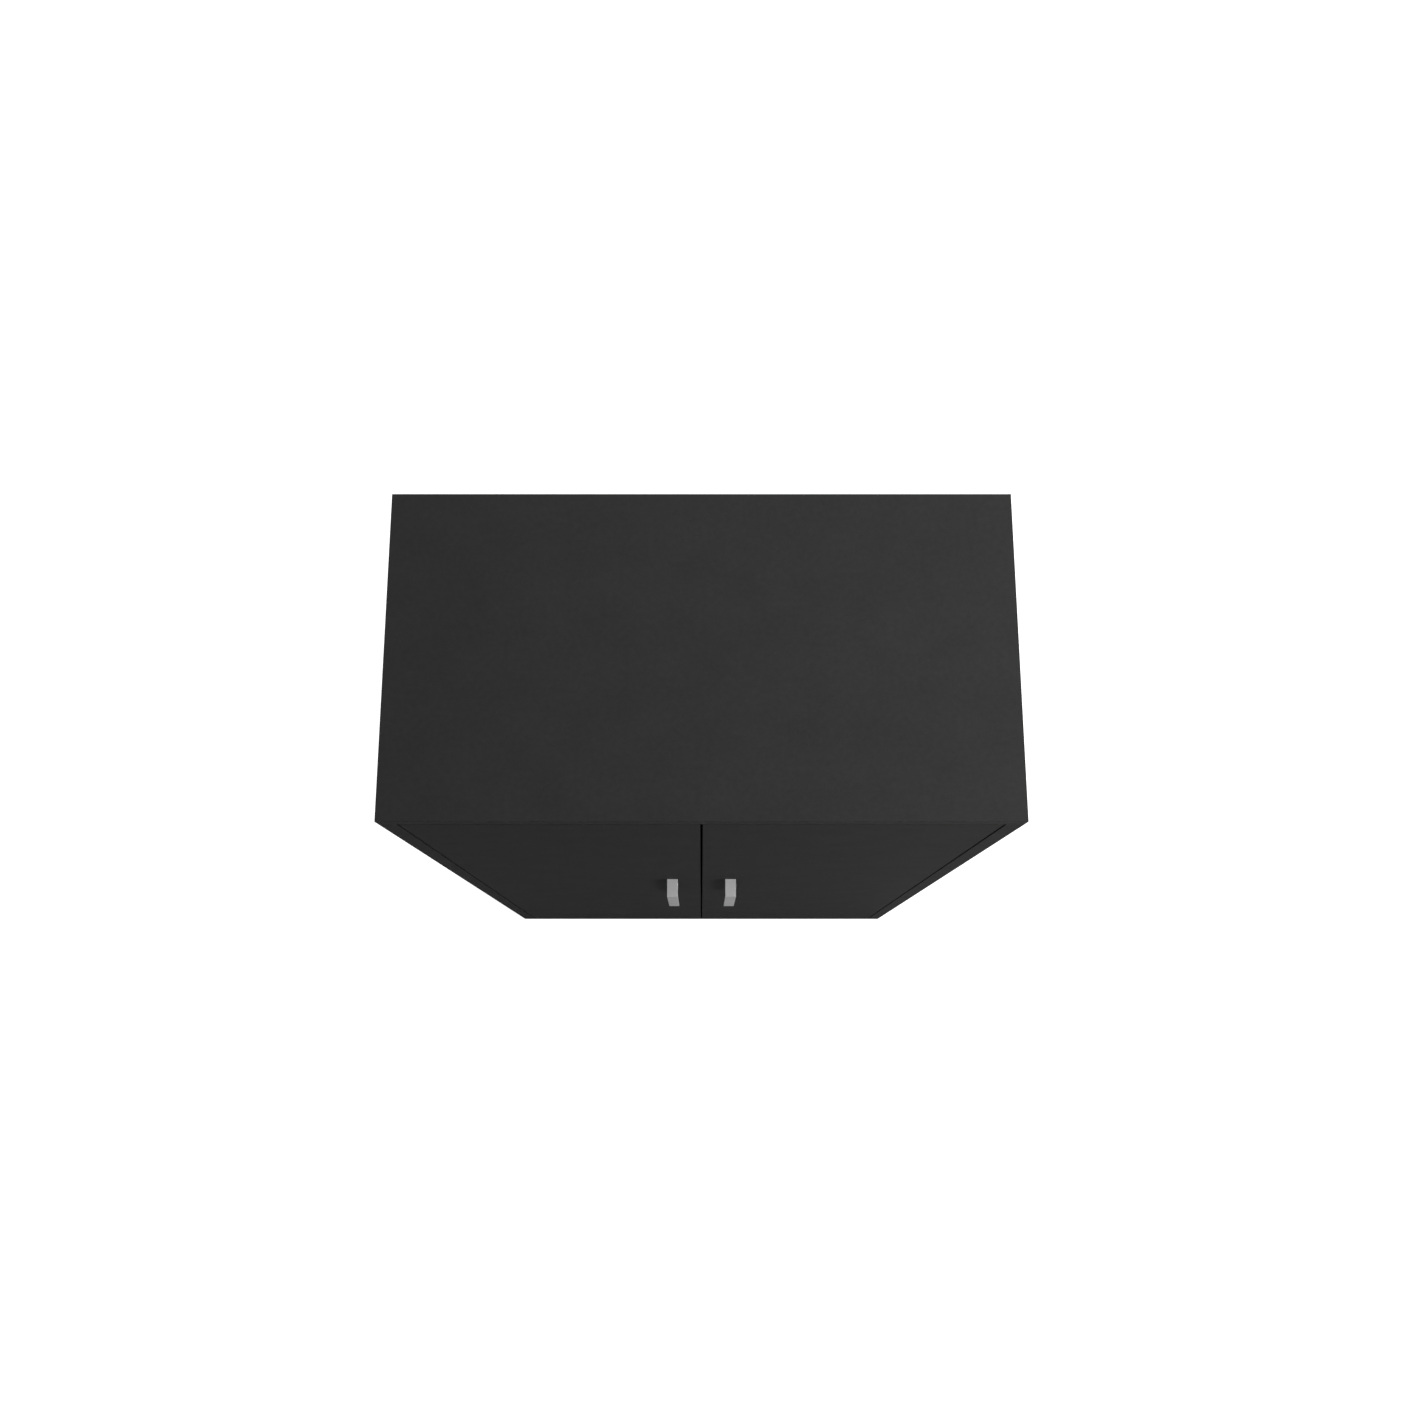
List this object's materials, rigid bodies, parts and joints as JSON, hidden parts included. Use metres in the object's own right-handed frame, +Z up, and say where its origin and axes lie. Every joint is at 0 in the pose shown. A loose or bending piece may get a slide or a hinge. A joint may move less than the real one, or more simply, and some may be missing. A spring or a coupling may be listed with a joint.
{
  "type": "wardrobe with doors",
  "caption": "Tall freestanding wardrobe in black board with flush hinged doors, grey bar handles, a hat shelf and a hanging rail.",
  "frame": {"origin": "on the floor, in the middle of the whole object's width and depth, handles included", "axes": "+Z up, +X to the right as seen from the front, doors face -Y"},
  "size_m": [0.9, 0.513, 1.7],
  "materials": {
    "black_board": "particle board faced in matte charcoal-black melamine",
    "black_hardboard": "thin hardboard, painted black",
    "handle_grey": "satin light grey, fine lengthwise brushing",
    "nickel_steel": "nickel-plated pressed steel",
    "rail_chrome": "bright chrome plate",
    "black_plastic": "moulded, fine grain",
    "magnet_ferrite": "ground ferrite"
  },
  "bodies": {
    "carcass": {"top_panel": "black_board", "bottom_panel": "black_board", "hat_shelf": "black_board", "back_joint_strip": "black_plastic", "hanging_rail": "rail_chrome", "catch_housing": "black_plastic", "left_side_panel": "black_board", "left_back_panel": "black_hardboard", "left_rail_socket": "nickel_steel", "left_anti_tip_bracket": "nickel_steel", "left_magnet": "magnet_ferrite", "left_front_glide": "black_plastic", "left_rear_glide": "black_plastic", "left_front_shelf_pin": "nickel_steel", "left_rear_shelf_pin": "nickel_steel", "left_lower_hinge_plate": "nickel_steel", "left_lower_hinge_arm": "nickel_steel", "left_middle_hinge_plate": "nickel_steel", "left_middle_hinge_arm": "nickel_steel", "left_upper_hinge_plate": "nickel_steel", "left_upper_hinge_arm": "nickel_steel", "right_side_panel": "black_board", "right_back_panel": "black_hardboard", "right_rail_socket": "nickel_steel", "right_anti_tip_bracket": "nickel_steel", "right_magnet": "magnet_ferrite", "right_front_glide": "black_plastic", "right_rear_glide": "black_plastic", "right_front_shelf_pin": "nickel_steel", "right_rear_shelf_pin": "nickel_steel", "right_lower_hinge_plate": "nickel_steel", "right_lower_hinge_arm": "nickel_steel", "right_middle_hinge_plate": "nickel_steel", "right_middle_hinge_arm": "nickel_steel", "right_upper_hinge_plate": "nickel_steel", "right_upper_hinge_arm": "nickel_steel"},
    "left_leaf": {"left_door": "black_board", "left_handle": "handle_grey", "left_strike_plate": "nickel_steel", "left_lower_handle_screw": "nickel_steel", "left_upper_handle_screw": "nickel_steel", "left_lower_hinge_cup": "nickel_steel", "left_lower_hinge_pin": "nickel_steel", "left_middle_hinge_cup": "nickel_steel", "left_middle_hinge_pin": "nickel_steel", "left_upper_hinge_cup": "nickel_steel", "left_upper_hinge_pin": "nickel_steel"},
    "right_leaf": {"right_door": "black_board", "right_handle": "handle_grey", "right_strike_plate": "nickel_steel", "right_lower_handle_screw": "nickel_steel", "right_upper_handle_screw": "nickel_steel", "right_lower_hinge_cup": "nickel_steel", "right_lower_hinge_pin": "nickel_steel", "right_middle_hinge_cup": "nickel_steel", "right_middle_hinge_pin": "nickel_steel", "right_upper_hinge_cup": "nickel_steel", "right_upper_hinge_pin": "nickel_steel"}
  },
  "joints": [
    {"name": "left_door_hinge", "type": "hinge", "parent": "carcass", "child": "left_leaf", "pos_m": [-0.406, -0.2145, 0.8525], "axis": [0, 0, -1], "range_deg": [0, 105]},
    {"name": "right_door_hinge", "type": "hinge", "parent": "carcass", "child": "right_leaf", "pos_m": [0.406, -0.2145, 0.8525], "axis": [0, 0, 1], "range_deg": [0, 105]}
  ]
}
